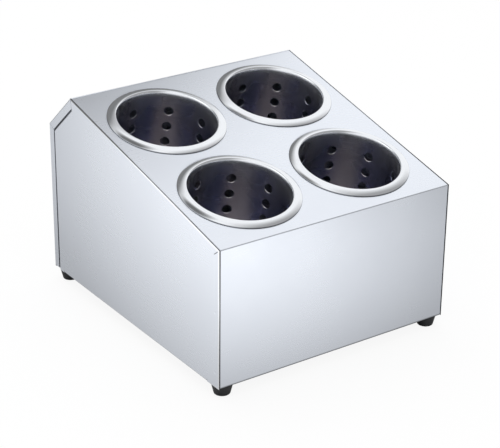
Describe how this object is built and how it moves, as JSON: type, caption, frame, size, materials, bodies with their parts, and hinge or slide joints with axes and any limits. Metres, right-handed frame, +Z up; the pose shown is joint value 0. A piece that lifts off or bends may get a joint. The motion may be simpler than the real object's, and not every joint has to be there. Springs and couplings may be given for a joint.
{
  "type": "cutlery dispenser",
  "caption": "Countertop cutlery dispenser: a folded stainless case with a sloping deck that holds perforated lift-out cups, standing on rubber feet.",
  "frame": {"origin": "on the table, under the middle of the case", "axes": "+X to the right along the front, +Y from the front to the back, +Z up"},
  "size_m": [0.265, 0.3078, 0.2115],
  "materials": {
    "case_steel": "satin stainless sheet, slightly rounded bright edges",
    "cup_steel": "bright satin stainless, polished rim",
    "foot_rubber": "matt black moulded rubber",
    "zinc_plate": "bright zinc plating"
  },
  "bodies": {
    "case": {"front_and_deck": "case_steel", "left_side_panel": "case_steel", "right_side_panel": "case_steel", "rear_cover": "case_steel", "base_tray": "case_steel", "foot_front_left": "foot_rubber", "foot_front_right": "foot_rubber", "foot_rear_left": "foot_rubber", "foot_rear_right": "foot_rubber", "foot_washer_front_left": "zinc_plate", "foot_washer_front_right": "zinc_plate", "foot_washer_rear_left": "zinc_plate", "foot_washer_rear_right": "zinc_plate", "foot_screw_front_left": "zinc_plate", "foot_screw_front_right": "zinc_plate", "foot_screw_rear_left": "zinc_plate", "foot_screw_rear_right": "zinc_plate", "foot_nut_front_left": "zinc_plate", "foot_nut_front_right": "zinc_plate", "foot_nut_rear_left": "zinc_plate", "foot_nut_rear_right": "zinc_plate"},
    "front_left_cup": {"cup_front_left": "cup_steel"},
    "front_right_cup": {"cup_front_right": "cup_steel"},
    "rear_left_cup": {"cup_rear_left": "cup_steel"},
    "rear_right_cup": {"cup_rear_right": "cup_steel"}
  },
  "joints": [
    {"name": "front_left_cup_lift", "type": "slide", "parent": "case", "child": "front_left_cup", "axis": [0, -0.2207, 0.9753], "range_m": [0, 0.14]},
    {"name": "front_right_cup_lift", "type": "slide", "parent": "case", "child": "front_right_cup", "axis": [0, -0.2207, 0.9753], "range_m": [0, 0.14]},
    {"name": "rear_left_cup_lift", "type": "slide", "parent": "case", "child": "rear_left_cup", "axis": [0, -0.2207, 0.9753], "range_m": [0, 0.14]},
    {"name": "rear_right_cup_lift", "type": "slide", "parent": "case", "child": "rear_right_cup", "axis": [0, -0.2207, 0.9753], "range_m": [0, 0.14]}
  ]
}
